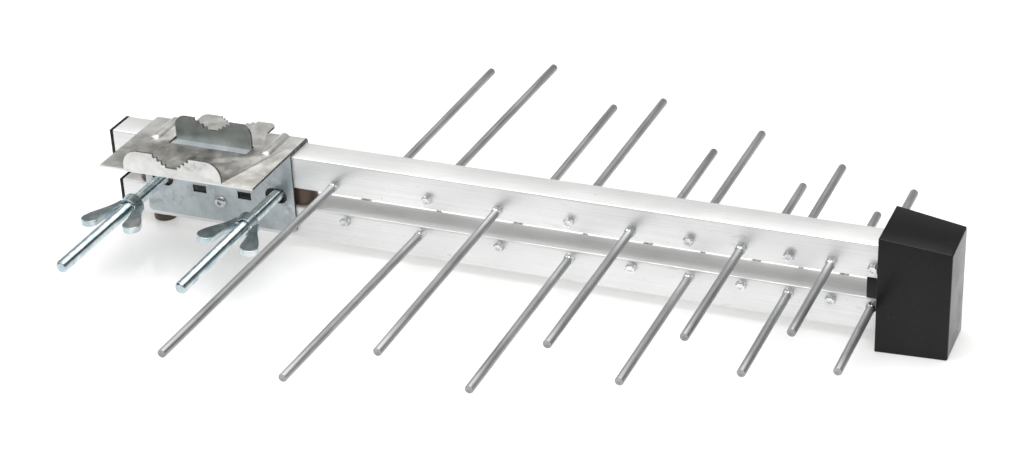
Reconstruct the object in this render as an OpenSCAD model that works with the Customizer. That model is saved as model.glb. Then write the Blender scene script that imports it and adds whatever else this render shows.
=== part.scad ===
// Two-boom log-periodic antenna with a mast clamp.
// +X runs along the booms from the clamp to the front cap, +Z is up, and the clamp plate overhangs towards -Y.
// The origin is on the surface that the antenna rests on, under the middle of its length.

/* [Booms] */
// Side of each square boom tube
boom_side = 16; // [13:0.5:20]
// Wall of the boom tubes
boom_wall = 1.2; // [0.8:0.1:1.5]
// Gap between the two booms
boom_gap = 9.6; // [8:0.2:16]
// Boom length in front of the shortest dipole
front_margin = 25; // [20:1:40]
// Height of the lower boom above the surface
stand_height = 5.4; // [4:0.1:10]

/* [Dipoles] */
// Diameter of the rods
rod_d = 3.8; // [2.5:0.1:4]
// Reach of the longest dipole to each side of the booms' middle
longest_reach = 164.5; // [120:0.5:260]
// Length of each dipole as a share of the one behind it
taper = 0.9; // [0.87:0.005:0.92]
// Distance from the rear end of the booms to the longest dipole
first_dipole = 118; // [112:1:140]
// Distance from the longest dipole to the next one
first_spacing = 40.7; // [32:0.1:50]
// How far the upper rods lie below the middle of their boom
rod_drop = 2.8; // [0:0.1:3.5]
// How far the lower rods lie above the middle of their boom
rod_rise = 4.7; // [3:0.1:4.7]
// Diameter of the swaged collar where a rod leaves its boom
collar_d = 4.8; // [4.6:0.1:6]
// Length of the swaged collar
collar_len = 4; // [2:0.5:8]
// Length of a rod's end on the far side of its boom
stub_len = 3; // [1.5:0.5:6]

/* [Front cap] */
// Width of the cap at its rear mouth
cap_w_rear = 31.2; // [28:0.1:40]
// Width of the cap at its front end
cap_w_front = 27; // [26:0.1:36]
// Height of the cap above the upper boom at its rear mouth
cap_rise_rear = 7.5; // [5:0.5:12]
// Height of the cap above the upper boom at its front end
cap_rise_front = 3.5; // [3:0.5:8]
// Wall of the cap
cap_wall = 2; // [1.5:0.1:2.5]
// Free space in the cap in front of the boom ends
feed_space = 7; // [6:0.5:14]

/* [Mast clamp] */
// Thickness of the clamp's sheet steel
sheet = 1.2; // [1:0.1:2]
// Width of the clamp along the booms
clamp_w = 78.5; // [78:0.5:100]
// Distance from the rear end of the booms to the middle of the clamp
clamp_from_rear = 55; // [52:0.5:58]
// How far the plate overhangs the near side of the booms
plate_overhang = 37.8; // [25:0.2:60]
// Height of the clamp wall's lower edge above the underside of the lower boom
wall_lift = 2.6; // [0:0.1:4]
// Width of the toothed jaw on the bracket
jaw_w = 39.5; // [36:0.5:42]
// Height of the toothed jaw above the clamp plate
jaw_h = 11; // [9:0.2:16]
// Width of the toothed lip on the plate's near edge
lip_w = 50; // [44:0.5:60]
// Height of the toothed lip above the clamp plate
lip_h = 9.6; // [8:0.2:14]
// Reach of the toothed tongue beyond the far side of the booms
tongue_reach = 9; // [8:0.2:12]
// Depth of the toothed notches for the mast
notch_depth = 6; // [4:0.2:7]

/* [U-bolt] */
// Diameter of the U-bolt
leg_d = 5.9; // [4:0.1:6]
// Distance between the legs of the U-bolt
leg_spacing = 60; // [58:0.5:60.5]
// Reach of the legs in front of the near side of the booms
leg_reach = 92; // [60:1:130]
// Distance from the clamp wall to the wing nuts
nut_stand_off = 26.8; // [5:0.1:34]
// Diameter of the wing nut's hub
nut_hub_d = 10.4; // [8.4:0.1:12]
// Height of the wing nut's hub
nut_hub_h = 5.6; // [4:0.1:8]
// Distance from the leg to the tip of each wing
wing_span = 15; // [12:0.1:16]
// Rise of the wings beyond the hub
wing_rise = 19.5; // [10:0.1:22]
// Thickness of the wings
wing_t = 3; // [1.6:0.1:3.4]

/* [Spacers and connector] */
// Diameter of the round spacers
spacer_d = 12; // [8:0.1:12]
// Diameter of the connector's dust cap
dust_cap_d = 11.4; // [11:0.1:13]
// Diameter of the connector's barrel
barrel_d = 9.4; // [8.4:0.1:9.6]
// Distance from the rear end of the booms to the connector
connector_from_rear = 18.5; // [17:0.5:22]
// Diameter of the feed cable
cable_d = 4.4; // [3:0.1:4.6]

/* [Hidden] */
$fn = 48;
clear = 0.1;               // gap between pieces that slip together
running = 0.05;            // radial gap of a piece that turns on a leg
plug_t = 1.8;              // flange of the boom end plugs
lower_set_in = 2;          // how far the lower boom starts in front of the upper one
plug_depth = 8;
spacer_to_leg = 1.5;        // space between a leg and the spacer beside it
peg_d = 5;                 // locating pegs on the spacers
peg_len = 2.4;
rivet_d = 3.2;
rivet_head_d = 6.2;
rivet_head_h = 1.5;
rivet_grip = 1.6;          // height of the rivet's set end
rib_w = 6;
rib_rear = 7.5;            // how far the ribs reach past the near side of the booms
rib_from_edge = 10.4;      // middle of a rib to the plate's side edge
rib_sunk = 1.5;            // how far the rib's round section lies below the plate's top
jaw_window = 6.6;          // length of the plate's window in front of the jaw
jaw_notch_depth = 5.2;
jaw_corner_r = 5;          // corners of the jaw, the lip and the tongue
lip_corner_r = 7.5;
tongue_corner_r = 3;
lip_shift = 1.5;           // how far the lip lies behind the clamp's middle
panel_drop = 2;            // top of the far wall's middle panel, below the tongue's cut
window_x = 11.8;           // middle of the clamp to the middle of each window in the wall
window_w = 7;
window_shift = 1.3;        // how far the windows lie in front of the clamp's middle
window_h = 3.7;
window_drop = 4.6;         // lower edge of the windows below the middle of the gap
slot_play_w = 1.5;         // play of a leg across and along its slotted hole
slot_play_len = 5.2;
strap_gap = 1.2;           // space between the tongue and each strap
strap_bend_r = sheet;      // inside radius of the bends at the tops of the straps
tooth_steps = 4;           // steps on each side of a toothed notch
tooth_w = 2.1;
gullet = 0.45;             // depth of the pointed gullet under each tooth
notch_floor = 6;           // width of a notch at its bottom
core_d = 1.1;
core_bend = 1.6;           // bend of the cable's inner wire in front of the booms
core_bare = 1;             // straight inner wire between the cable's end and that bend
cable_past = 1.5;          // cable in front of the boom ends
tag_t = 0.8;
tag_w = 6;
tag_set_back = 1;          // tag edge to the boom's end
tag_past = 1.6;            // tag in front of the inner wire
screw_d = 2.9;
screw_head_d = 5.6;
screw_head_h = 2;
web_t = 2.5;               // web of the front spacer in the cap's mouth
lug_len = 6;               // block between the booms, outside and inside the cap's mouth
lug_in_cap = 14;
cap_to_collar = 0.8;       // space between the last rod's collar and the cap
cap_corner_r = 0.8;
dust_cap_end = 1.2;
dust_cap_round = 1.2;
nut_across = 13;
thin_nut_h = 1.6;
dielectric_d = 5;
wing_to_leg = 0.7;
leg_chamfer = 0.8;         // length of the chamfer at the leg ends
socket_flange_d = 11;
socket_flange_h = 3;

// Heights, from the surface up
lower_bottom = stand_height;
lower_top = lower_bottom + boom_side;
upper_bottom = lower_top + boom_gap;
upper_top = upper_bottom + boom_side;
gap_mid = (lower_top + upper_bottom) / 2;
upper_rod_z = upper_bottom + boom_side / 2 - rod_drop;
lower_rod_z = lower_bottom + boom_side / 2 + rod_rise;
plate_z = upper_top + sheet;
plate_top = plate_z + sheet;

// The rods as they were cut, against the taper rule: place, near reach, far reach, near lean, far lean
COUNT = 10;
TRIM = [
    [0, 0, 0, -1.5, 1],
    [1.5, -8, -6.5, -2.5, 2],
    [1, 2.5, 9, 0, 0],
    [2, 4, 0, 0, 0],
    [1, 1, 2, 0, 0],
    [1, 2, 3, 0, 0],
    [0.5, -1, 1, 0, 0],
    [0, -1, -1, 0, 0],
    [-1, -1, 0.5, 0, 0],
    [-0.5, 0.5, -0.5, 0, 0],
];
function place(k) = first_dipole + first_spacing * (1 - pow(taper, k)) / (1 - taper) + TRIM[k][0];
function rod_x(k) = rear_x + place(k);
function reach(k, far) = longest_reach * pow(taper, k) + TRIM[k][far ? 2 : 1];
function lean(k, far) = TRIM[k][far ? 4 : 3];
// The feed crosses over at each dipole, so the near rods are on the upper boom at every second place
function on_upper(k, far) = (k % 2 == 0) != far;
function rod_z(k, far) = on_upper(k, far) ? upper_rod_z : lower_rod_z;

// Lengths along the booms
boom_len = place(COUNT - 1) + front_margin;
overall_len = plug_t + boom_len + feed_space + cap_wall;
rear_x = plug_t - overall_len / 2;
front_x = rear_x + boom_len;
cap_front_x = front_x + feed_space + cap_wall;
cap_rear_x = rod_x(COUNT - 1) + collar_d / 2 + cap_to_collar;
cap_len = cap_front_x - cap_rear_x;
clamp_x = rear_x + clamp_from_rear;
rear_spacer_x = clamp_x - leg_spacing / 2 - leg_d / 2 - spacer_to_leg - spacer_d / 2;
middle_spacer_x = clamp_x + leg_spacing / 2 + leg_d / 2 + spacer_to_leg + spacer_d / 2;
connector_x = rear_x + connector_from_rear;

// Places across the booms
near_y = -boom_side / 2;
far_y = boom_side / 2;
wall_face_y = near_y - sheet;
strap_face_y = far_y + sheet;
plate_near_y = near_y - plate_overhang;
wall_bottom = lower_bottom + wall_lift;
flange_reach = boom_side + sheet - strap_bend_r - 0.4;
jaw_y = wall_face_y;
nut_y = wall_face_y - nut_stand_off;
leg_end_y = near_y - leg_reach;
bend_start_y = strap_face_y + 0.5;
slot_w = leg_d + slot_play_w;
slot_len = leg_d + slot_play_len;
strap_w = (clamp_w - jaw_w) / 2 - strap_gap;
panel_top = upper_top - tongue_reach - panel_drop;
cable_z = lower_bottom + boom_wall + cable_d / 2 + 0.3;
cable_front_x = front_x + cable_past;
rise_x = cable_front_x + core_bare + core_bend;
feed_screw_x = front_x - tag_w / 2 - tag_set_back;

// ---------- shared shapes ----------

// A round bar of radius r along +Y from y0 to y1
module bar_y(r, y0, y1) {
    translate([0, y0, 0])
        rotate([-90, 0, 0])
            cylinder(r = r, h = y1 - y0);
}

// A rounded head of radius r and height h, standing on z = 0
module dome(r, h) {
    ball = (r * r + h * h) / (2 * h);
    intersection() {
        translate([0, 0, h - ball])
            sphere(r = ball, $fn = 64);
        translate([-r, -r, 0])
            cube([2 * r, 2 * r, h]);
    }
}

// A square tube along +X with its middle at height z
module tube_x(side, wall, len) {
    difference() {
        translate([0, -side / 2, -side / 2])
            cube([len, side, side]);
        translate([-1, wall - side / 2, wall - side / 2])
            cube([len + 2, side - 2 * wall, side - 2 * wall]);
    }
}

// A sheet of thickness t in the XZ plane with its near face at y = 0, cut to a flat outline
module sheet_xz(t) {
    translate([0, t, 0])
        rotate([90, 0, 0])
            linear_extrude(t)
                children();
}

// A slotted hole along X through y0 to y1
module slot_y(w, len, y0, y1) {
    translate([0, y1, 0])
        rotate([90, 0, 0])
            linear_extrude(y1 - y0) {
                square([len - w, w], center = true);
                for (side = [-1, 1])
                    translate([side * (len - w) / 2, 0])
                        circle(d = w);
            }
}

// Outline of a toothed jaw of width w and height h with round corners, and a stepped notch for a round mast
module jaw_outline(w, h, depth, corner) {
    step_h = depth / tooth_steps;
    difference() {
        intersection() {
            translate([-w / 2, 0])
                square([w, h]);
            union() {
                translate([-w / 2, 0])
                    square([w, h - corner]);
                translate([corner - w / 2, 0])
                    square([w - 2 * corner, h]);
                for (side = [-1, 1])
                    translate([side * (w / 2 - corner), h - corner])
                        circle(r = corner);
            }
        }
        for (i = [1 : tooth_steps])
            translate([-tooth_reach(i), h - i * step_h])
                square([2 * tooth_reach(i), i * step_h + 1]);
        // small pointed gullets make each step a tooth
        for (i = [1 : tooth_steps - 1], side = [-1, 1])
            translate([side * tooth_reach(i + 1), h - i * step_h])
                polygon([[0, 0.1], [side * tooth_w, 0.1], [side * tooth_w * 0.75, -gullet]]);
    }
}
function tooth_reach(i) = notch_floor / 2 + (tooth_steps - i) * tooth_w;

// ---------- booms ----------

// A hole for each rod that goes through this boom
module rod_holes(upper) {
    for (k = [0 : COUNT - 1], far = [false, true])
        if (on_upper(k, far) == upper)
            translate([rod_x(k), 0, rod_z(k, far)])
                rotate([0, 0, far ? -lean(k, far) : lean(k, far)])
                    bar_y(rod_d / 2 + running, -boom_side, boom_side);
}

function boom_rear(upper) = upper ? rear_x : rear_x + lower_set_in;
module boom(z, upper) {
    color("gainsboro")
        difference() {
            translate([boom_rear(upper), 0, z + boom_side / 2])
                tube_x(boom_side, boom_wall, front_x - boom_rear(upper));
            rod_holes(upper);
            // hole for the bracket's rivet
            translate([clamp_x, 0, upper ? upper_rod_z : lower_rod_z])
                bar_y(rivet_d / 2 + running, near_y - 1, near_y + boom_wall + 1);
            // holes for the pegs of the round spacers
            for (x = [rear_spacer_x, middle_spacer_x])
                translate([x, 0, (upper ? upper_bottom : lower_top) - boom_wall - 1])
                    cylinder(d = peg_d + 2 * clear, h = 2 * boom_wall + 2);
            // pilot hole for the feed screw
            translate([feed_screw_x, 0, (upper ? upper_bottom : lower_top) - boom_wall - 1])
                cylinder(d = screw_d + 2 * running, h = 2 * boom_wall + 2);
            if (!upper)
                translate([connector_x, 0, lower_bottom - 1])
                    cylinder(d = barrel_d + 2 * clear, h = boom_wall + 2);
        }
}
module upper_boom() { boom(upper_bottom, true); }
module lower_boom() { boom(lower_bottom, false); }

// Plug in the rear end of a boom: a thin flange and a hollow body
module end_plug(z, upper) {
    inner = boom_side - 2 * boom_wall - 2 * clear;
    color([0.06, 0.06, 0.06])
        translate([boom_rear(upper), 0, z + boom_side / 2]) {
            translate([-plug_t, -boom_side / 2, -boom_side / 2])
                cube([plug_t, boom_side, boom_side]);
            tube_x(inner, 1.2, plug_depth);
        }
}
module upper_end_plug() { end_plug(upper_bottom, true); }
module lower_end_plug() { end_plug(lower_bottom, false); }

// ---------- rods ----------

// One rod: shank, swaged collar outside the boom and peened head on the other face
module rod(k, far) {
    turn = far ? -lean(k, far) : 180 + lean(k, far);
    color("darkgray")
        translate([rod_x(k), 0, rod_z(k, far)])
            rotate([0, 0, turn]) {
                bar_y(rod_d / 2, -boom_side / 2 - 0.1, reach(k, far));
                bar_y(collar_d / 2, boom_side / 2 + lean_gap(k, far), boom_side / 2 + collar_len);
                bar_y(collar_d / 2, -boom_side / 2 - stub_len, -boom_side / 2 - lean_gap(k, far));
            }
}
// A leaning rod's collar and stub stand a little off the boom so that their edges stay clear
function lean_gap(k, far) = abs(sin(lean(k, far))) * collar_d / 2;

module rod_01_near() { rod(0, false); }
module rod_01_far() { rod(0, true); }
module rod_02_near() { rod(1, false); }
module rod_02_far() { rod(1, true); }
module rod_03_near() { rod(2, false); }
module rod_03_far() { rod(2, true); }
module rod_04_near() { rod(3, false); }
module rod_04_far() { rod(3, true); }
module rod_05_near() { rod(4, false); }
module rod_05_far() { rod(4, true); }
module rod_06_near() { rod(5, false); }
module rod_06_far() { rod(5, true); }
module rod_07_near() { rod(6, false); }
module rod_07_far() { rod(6, true); }
module rod_08_near() { rod(7, false); }
module rod_08_far() { rod(7, true); }
module rod_09_near() { rod(8, false); }
module rod_09_far() { rod(8, true); }
module rod_10_near() { rod(9, false); }
module rod_10_far() { rod(9, true); }

// ---------- front cap and spacers ----------

// Points along an arc from angle a0 to a1
function arc(centre, r, a0, a1) = [for (i = [0 : 8]) centre + r * [cos(a0 + (a1 - a0) * i / 8), sin(a0 + (a1 - a0) * i / 8)]];

// Solid of the cap's outer shape, shrunk by inset on every side but its open rear mouth
module cap_solid(inset) {
    wr = cap_w_rear / 2 - inset;
    wf = cap_w_front / 2 - inset;
    corner = max(cap_corner_r - inset, 0.4);
    top_rear = upper_top + cap_rise_rear - inset;
    top_front = upper_top + cap_rise_front - inset;
    x0 = inset > 0 ? -1 : 0;
    xc = cap_len - inset - corner;
    intersection() {
        // plan view, drafted, with round front corners
        linear_extrude(top_rear + 1)
            polygon(concat(
                [[x0, wr], [x0, -wr]],
                arc([xc, corner - wf], corner, -90, 0),
                arc([xc, wf - corner], corner, 0, 90)
            ));
        // side view: flat underside, sloping top
        rotate([90, 0, 0])
            linear_extrude(2 * cap_w_rear, center = true)
                polygon(concat(
                    [[x0, top_rear], [x0, inset]],
                    arc([xc, inset + corner], corner, -90, 0),
                    arc([xc, top_front - corner], corner, 0, 90)
                ));
    }
}

module front_cap() {
    color([0.08, 0.08, 0.08])
        translate([cap_rear_x, 0, 0])
            difference() {
                cap_solid(0);
                cap_solid(cap_wall);
            }
}

// Web that closes the cap's mouth around the booms, with the block between the booms
module front_spacer() {
    hole = boom_side + 2 * clear;
    color([0.1, 0.1, 0.1])
        difference() {
            union() {
                intersection() {
                    translate([cap_rear_x, 0, 0])
                        cap_solid(cap_wall + clear);
                    translate([cap_rear_x + 0.5, -cap_w_rear, 0])
                        cube([web_t, 2 * cap_w_rear, 2 * upper_top]);
                }
                translate([cap_rear_x - lug_len, -boom_side / 2, lower_top + clear])
                    cube([lug_len + lug_in_cap, boom_side, boom_gap - 2 * clear]);
            }
            for (z = [lower_bottom, upper_bottom])
                translate([cap_rear_x - 1, -hole / 2, z - clear])
                    cube([web_t + 3, hole, hole]);
        }
}

// Round spacer between the booms, with a peg into each of them
module round_spacer(x) {
    color([0.36, 0.27, 0.2])
        translate([x, 0, lower_top]) {
            cylinder(d = spacer_d, h = boom_gap);
            translate([0, 0, -peg_len])
                cylinder(d = peg_d, h = boom_gap + 2 * peg_len);
        }
}
module middle_spacer() { round_spacer(middle_spacer_x); }
module rear_spacer() { round_spacer(rear_spacer_x); }

// ---------- mast clamp ----------

module leg_slots(y0, y1) {
    for (side = [-1, 1])
        translate([side * leg_spacing / 2, 0, gap_mid])
            slot_y(slot_w, slot_len, y0, y1);
}

// Profile of a right-angle bend: a wall at y from 0 to t that goes down by depth, under a flange to y = reach
module angle_profile(t, inside_r, depth, reach) {
    outside_r = inside_r + t;
    translate([0, -depth])
        square([t, depth - outside_r]);
    translate([outside_r, -t])
        square([reach - outside_r, t]);
    translate([outside_r, -outside_r])
        intersection() {
            difference() {
                circle(r = outside_r);
                if (inside_r > 0)
                    circle(r = inside_r);
            }
            translate([-outside_r, 0])
                square(outside_r);
        }
}

// The bracket: wall, top flange over the upper boom, and the toothed jaw bent up out of the flange
module clamp_bracket() {
    color([0.62, 0.66, 0.68])
        translate([clamp_x, 0, 0])
            difference() {
                union() {
                    intersection() {
                        translate([-clamp_w / 2, wall_face_y, plate_z])
                            rotate([90, 0, 90])
                                linear_extrude(clamp_w)
                                    angle_profile(sheet, 0, plate_z - wall_bottom, flange_reach);
                        // rounds the wall's lower corners
                        translate([0, strap_face_y, 0])
                            rotate([90, 0, 0])
                                linear_extrude(boom_side + 4 * sheet)
                                    wall_outline();
                    }
                    translate([0, jaw_y, plate_z - sheet])
                        sheet_xz(sheet)
                            jaw_outline(jaw_w, jaw_h + 2 * sheet, jaw_notch_depth, jaw_corner_r);
                }
                // the flange is open behind the jaw, which was cut from there
                translate([-jaw_w / 2, jaw_y + sheet, upper_top - 1])
                    cube([jaw_w, boom_side, sheet + 2]);
                leg_slots(wall_face_y - 1, near_y + 1);
                // two windows over the gap between the booms
                for (side = [-1, 1])
                    translate([side * window_x + window_shift - window_w / 2, wall_face_y - 1, gap_mid - window_drop])
                        cube([window_w, sheet + 2, window_h]);
                for (z = [upper_rod_z, lower_rod_z])
                    translate([0, 0, z])
                        bar_y(rivet_d / 2 + running, wall_face_y - 1, near_y + 1);
            }
}

module wall_outline() {
    corner = 2;
    w = clamp_w / 2;
    translate([-w, wall_bottom + corner])
        square([clamp_w, plate_z + 1 - wall_bottom - corner]);
    translate([corner - w, wall_bottom])
        square([clamp_w - 2 * corner, 2 * corner]);
    for (side = [-1, 1])
        translate([side * (w - corner), wall_bottom + corner])
            circle(r = corner);
}

// The plate: flat top, toothed lip on the near edge, toothed tongue and two straps on the far edge, two ribs
module clamp_plate() {
    tongue_w = jaw_w - 1;
    slot_near = jaw_y - jaw_window;
    color([0.66, 0.65, 0.6])
        translate([clamp_x, 0, 0])
            difference() {
                union() {
                    // flat top, short of its two far bends
                    translate([-clamp_w / 2, plate_near_y, plate_z])
                        cube([clamp_w, far_y - strap_bend_r - plate_near_y, sheet]);
                    for (side = [-1, 1])
                        translate([side * (clamp_w - strap_w) / 2, 0, 0])
                            far_strap();
                    // panel that joins the straps below the cut that the tongue came from
                    translate([strap_w - clamp_w / 2 - 1, far_y, wall_bottom])
                        cube([clamp_w - 2 * strap_w + 2, sheet, panel_top - wall_bottom]);
                    // tongue beyond the far side of the booms
                    translate([0, far_y - 8, plate_z])
                        linear_extrude(sheet)
                            jaw_outline(tongue_w, tongue_reach + 8, notch_depth, tongue_corner_r);
                    translate([-lip_shift, plate_near_y, plate_z])
                        sheet_xz(sheet)
                            jaw_outline(lip_w, lip_h + sheet, notch_depth, lip_corner_r);
                    for (side = [-1, 1])
                        translate([side * (clamp_w / 2 - rib_from_edge), 0, plate_top])
                            rib();
                }
                // window for the bracket's jaw
                translate([-jaw_w / 2 - 0.6, slot_near, plate_z - 1])
                    cube([jaw_w + 1.2, jaw_y + sheet + 0.3 - slot_near, sheet + 2]);
                leg_slots(far_y - 1, strap_face_y + 1);
            }
}

// One of the straps that go down behind the booms
module far_strap() {
    translate([-strap_w / 2, strap_face_y, plate_top])
        mirror([0, 1, 0])
            rotate([90, 0, 90])
                linear_extrude(strap_w)
                    angle_profile(sheet, strap_bend_r, plate_top - wall_bottom, boom_side / 2);
}

// A pressed stiffening rib along Y, rounded across and at its near end
module rib() {
    r = rib_w / 2;
    y0 = near_y - rib_rear + r;
    y1 = far_y - strap_bend_r;
    intersection() {
        translate([0, 0, -rib_sunk])
            union() {
                bar_y(r, y0, y1);
                translate([0, y0, 0])
                    rotate([90, 0, 0])
                        sphere(r = r);
            }
        translate([-r, y0 - r, 0])
            cube([rib_w, y1 - y0 + r, r]);
    }
}

// Rivets through the wall into each boom
module bracket_rivets() {
    color("silver")
        for (z = [upper_rod_z, lower_rod_z])
            translate([clamp_x, wall_face_y, z]) {
                rotate([90, 0, 0])
                    dome(rivet_head_d / 2, rivet_head_h);
                bar_y(rivet_d / 2, -0.2, sheet + boom_wall + rivet_grip);
                bar_y(rivet_d / 2 + 0.5, sheet + boom_wall, sheet + boom_wall + rivet_grip);
            }
}

// ---------- U-bolt and wing nuts ----------

module u_bolt() {
    color([0.75, 0.8, 0.82])
        translate([clamp_x, 0, gap_mid]) {
            for (side = [-1, 1])
                translate([side * leg_spacing / 2, 0, 0]) {
                    bar_y(leg_d / 2, leg_end_y + leg_chamfer, bend_start_y);
                    translate([0, leg_end_y, 0])
                        rotate([-90, 0, 0])
                            cylinder(r1 = leg_d / 2 - 0.75 * leg_chamfer, r2 = leg_d / 2, h = leg_chamfer);
                }
            translate([0, bend_start_y, 0])
                rotate_extrude(angle = 180, $fn = 96)
                    translate([leg_spacing / 2, 0])
                        circle(d = leg_d);
        }
}

// A wing nut on the leg at side, turned about the leg by spin degrees
module wing_nut(side, spin) {
    color([0.7, 0.75, 0.77])
        translate([clamp_x + side * leg_spacing / 2, nut_y, gap_mid])
            rotate([0, spin, 0])
                difference() {
                    union() {
                        rotate([90, 0, 0])
                            cylinder(d1 = nut_hub_d, d2 = nut_hub_d - 1.6, h = nut_hub_h);
                        for (turn = [0, 180])
                            rotate([0, turn, 0])
                                wing();
                    }
                    bar_y(leg_d / 2 + running, -nut_hub_h - 1, 1);
                }
}

// One wing: a paddle that leans out from the hub and rises along the leg, with a round tip
module wing() {
    tip_r = 4.2;
    root_r = 2;
    root = [nut_hub_d / 2 - 1.2, root_r - nut_hub_h];
    tip = [wing_span - tip_r, tip_r - nut_hub_h - wing_rise];
    angle = atan2(tip[1] - root[1], tip[0] - root[0]);
    inner_x = leg_d / 2 + wing_to_leg;
    translate([0, 0, -wing_t / 2])
        linear_extrude(wing_t)
            polygon(concat(
                [[inner_x, root[1] + root_r - 0.6], [inner_x, -nut_hub_h - 0.8]],
                arc(tip, tip_r, angle - 90, angle + 90),
                [root + root_r * [-sin(angle), cos(angle)]]
            ));
}
module wing_nut_left() { wing_nut(-1, 0); }
module wing_nut_right() { wing_nut(1, 8); }

// ---------- connector, cable and feed ----------

// Coaxial socket that hangs through the underside of the lower boom
module connector_socket() {
    inside = lower_bottom + boom_wall;
    end = dust_cap_end + 0.4;
    color("goldenrod")
        translate([connector_x, 0, 0])
            difference() {
                union() {
                    translate([0, 0, end])
                        cylinder(d = barrel_d, h = inside - end);
                    translate([0, 0, inside])
                        cylinder(d = socket_flange_d, h = socket_flange_h);
                }
                // dielectric bore, open downwards
                translate([0, 0, end - 1])
                    cylinder(d = dielectric_d, h = inside - end);
            }
}

// Thin nut that holds the socket against the boom
module connector_nut() {
    color("silver")
        translate([connector_x, 0, lower_bottom - thin_nut_h])
            difference() {
                cylinder(d = nut_across, h = thin_nut_h, $fn = 6);
                translate([0, 0, -1])
                    cylinder(d = barrel_d + 2 * running, h = thin_nut_h + 2);
            }
}

// Rounded dust cap over the socket
module connector_cap() {
    top = lower_bottom - thin_nut_h - clear;
    bore_d = barrel_d + 2 * running;
    r = dust_cap_d / 2;
    round_r = dust_cap_round;
    color([0.36, 0.27, 0.2])
        translate([connector_x, 0, 0])
            rotate_extrude()
                difference() {
                    union() {
                        translate([0, round_r])
                            square([r, top - round_r]);
                        square([r - round_r, round_r]);
                        translate([r - round_r, round_r])
                            circle(r = round_r);
                    }
                    translate([0, dust_cap_end])
                        square([bore_d / 2, top]);
                    translate([-r, -1])
                        square([r, top + 2]);
                }
}

// Feed cable along the inside of the lower boom
module coax_cable() {
    start = connector_x + socket_flange_d / 2;
    color([0.15, 0.15, 0.15])
        translate([start, 0, cable_z])
            rotate([0, 90, 0])
                difference() {
                    cylinder(d = cable_d, h = cable_front_x - start);
                    translate([0, 0, -1])
                        cylinder(d = core_d, h = cable_front_x - start + 2);
                }
}

// The cable's inner wire: along the cable, then up across the boom ends to the feed tag
module coax_core() {
    start = connector_x + socket_flange_d / 2;
    tag_z = upper_bottom - tag_t;
    color("peru") {
        translate([start, 0, cable_z])
            rotate([0, 90, 0])
                cylinder(d = core_d, h = rise_x - core_bend - start);
        translate([rise_x - core_bend, 0, cable_z + core_bend])
            rotate([90, 0, 0])
                rotate_extrude(angle = 90, start = -90)
                    translate([core_bend, 0])
                        circle(d = core_d);
        translate([rise_x, 0, cable_z + core_bend])
            cylinder(d = core_d, h = tag_z + tag_t - cable_z - core_bend);
    }
}

// Solder tag under the upper boom's front end
module feed_tag() {
    color("silver")
        difference() {
            translate([front_x - tag_w - tag_set_back, -tag_w / 2, upper_bottom - tag_t])
                cube([rise_x + tag_past - front_x + tag_w + tag_set_back, tag_w, tag_t]);
            translate([rise_x, 0, upper_bottom - tag_t - 1])
                cylinder(d = core_d + 2 * running, h = tag_t + 2);
            translate([feed_screw_x, 0, upper_bottom - tag_t - 1])
                cylinder(d = screw_d + 2 * running, h = tag_t + 2);
        }
}

// Screws at the front ends: one holds the tag, the other clamps the cable's braid
module feed_screws() {
    x = feed_screw_x;
    color("silver") {
        translate([x, 0, upper_bottom - tag_t - screw_head_h])
            cylinder(d = screw_head_d, h = screw_head_h);
        translate([x, 0, upper_bottom - tag_t - 0.1])
            cylinder(d = screw_d, h = tag_t + boom_wall + 2);
        translate([x, 0, lower_top])
            cylinder(d = screw_head_d, h = screw_head_h);
        translate([x, 0, cable_z + cable_d / 2])
            cylinder(d = screw_d, h = lower_top + 0.1 - cable_z - cable_d / 2);
    }
}

upper_boom();
lower_boom();
upper_end_plug();
lower_end_plug();
rod_01_near();
rod_01_far();
rod_02_near();
rod_02_far();
rod_03_near();
rod_03_far();
rod_04_near();
rod_04_far();
rod_05_near();
rod_05_far();
rod_06_near();
rod_06_far();
rod_07_near();
rod_07_far();
rod_08_near();
rod_08_far();
rod_09_near();
rod_09_far();
rod_10_near();
rod_10_far();
front_cap();
front_spacer();
middle_spacer();
rear_spacer();
clamp_plate();
clamp_bracket();
bracket_rivets();
u_bolt();
wing_nut_left();
wing_nut_right();
connector_socket();
connector_nut();
connector_cap();
coax_cable();
coax_core();
feed_tag();
feed_screws();
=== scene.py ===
import math

import bmesh
import bpy
import numpy as np
from mathutils import Matrix, Vector


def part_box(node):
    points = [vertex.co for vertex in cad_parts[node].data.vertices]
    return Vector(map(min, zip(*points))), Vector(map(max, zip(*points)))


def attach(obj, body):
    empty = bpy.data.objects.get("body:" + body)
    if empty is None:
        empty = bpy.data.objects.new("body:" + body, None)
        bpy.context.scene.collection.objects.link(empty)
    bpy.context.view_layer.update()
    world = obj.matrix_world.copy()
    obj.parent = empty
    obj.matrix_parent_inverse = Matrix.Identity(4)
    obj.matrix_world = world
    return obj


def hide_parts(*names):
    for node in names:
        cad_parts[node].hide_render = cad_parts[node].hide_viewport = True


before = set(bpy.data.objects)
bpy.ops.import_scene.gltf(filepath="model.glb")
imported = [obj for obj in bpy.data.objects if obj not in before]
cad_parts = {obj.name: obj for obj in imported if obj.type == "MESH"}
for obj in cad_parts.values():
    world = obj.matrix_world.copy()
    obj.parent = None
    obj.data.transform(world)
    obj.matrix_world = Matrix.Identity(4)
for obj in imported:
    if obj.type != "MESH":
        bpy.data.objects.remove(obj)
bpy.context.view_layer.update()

MM = 0.001
ROOT = "antenna"


# ---------- writing node trees ----------


def find_socket(sockets, key):
    """The socket with that place, identifier or name."""
    if isinstance(key, int):
        return sockets[key]
    for socket in sockets:
        if socket.identifier == key:
            return socket
    for socket in sockets:
        if socket.name == key and socket.enabled:
            return socket
    raise KeyError(key)


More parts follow.
